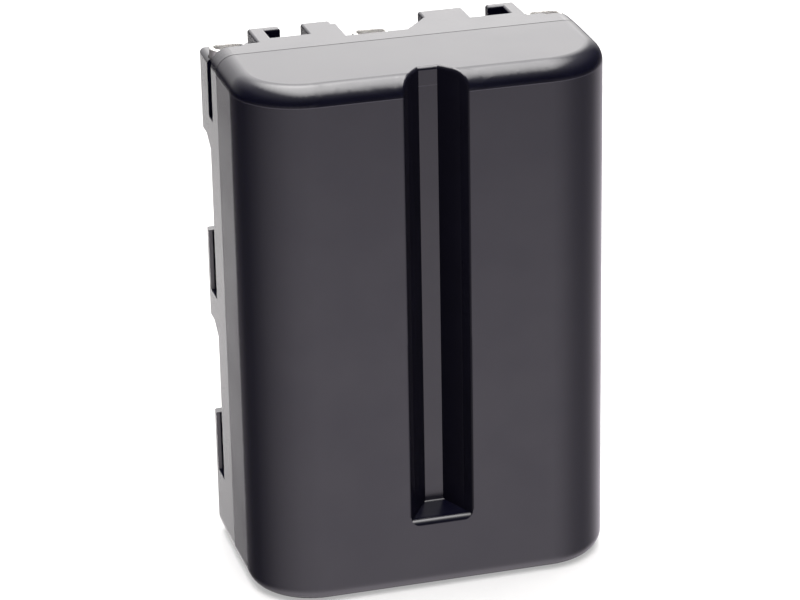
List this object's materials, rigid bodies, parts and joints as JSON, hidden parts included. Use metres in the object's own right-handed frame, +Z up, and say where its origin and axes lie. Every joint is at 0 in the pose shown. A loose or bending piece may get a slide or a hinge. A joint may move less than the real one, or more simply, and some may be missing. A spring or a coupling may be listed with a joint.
{
  "type": "camera battery",
  "caption": "Rechargeable camera battery: a charcoal two-shell case with a guide groove in front, locking hooks along both sides and sprung contacts at the top end.",
  "frame": {"origin": "middle of the bottom end, on the surface that the battery stands on", "axes": "+Z up along the long side towards the contacts, +Y from the grooved front face to the rear face, +X to the right seen from the front"},
  "size_m": [0.0382, 0.0206, 0.0556],
  "materials": {
    "case_plastic": "satin charcoal moulding",
    "contact_metal": "bright nickel plate",
    "cell_steel": "drawn nickel-plated can",
    "sleeve_film": "shrunk film",
    "washer_paper": "insulating paper",
    "strip_nickel": "nickel strip",
    "board_laminate": "solder mask over laminate",
    "chip_moulding": "moulded epoxy",
    "ceramic_part": "fired ceramic",
    "resistor_film": "glazed resistor",
    "bead_resin": "dipped resin"
  },
  "bodies": {
    "root": {"front_case": "case_plastic", "rear_case": "case_plastic", "contact_left": "contact_metal", "contact_middle": "contact_metal", "contact_right": "contact_metal", "cell_left": "cell_steel", "cell_right": "cell_steel", "sleeve_left": "sleeve_film", "sleeve_right": "sleeve_film", "washer_left": "washer_paper", "washer_right": "washer_paper", "series_strip": "strip_nickel", "positive_tab": "strip_nickel", "negative_tab": "strip_nickel", "midpoint_lead": "strip_nickel", "bottom_sheet": "washer_paper", "board_sheet": "washer_paper", "circuit_board": "board_laminate", "protection_chip": "chip_moulding", "gauge_chip": "chip_moulding", "power_transistors": "chip_moulding", "sense_resistor": "resistor_film", "board_fuse": "ceramic_part", "capacitors": "ceramic_part", "resistors": "resistor_film", "thermistor": "bead_resin"}
  },
  "joints": []
}
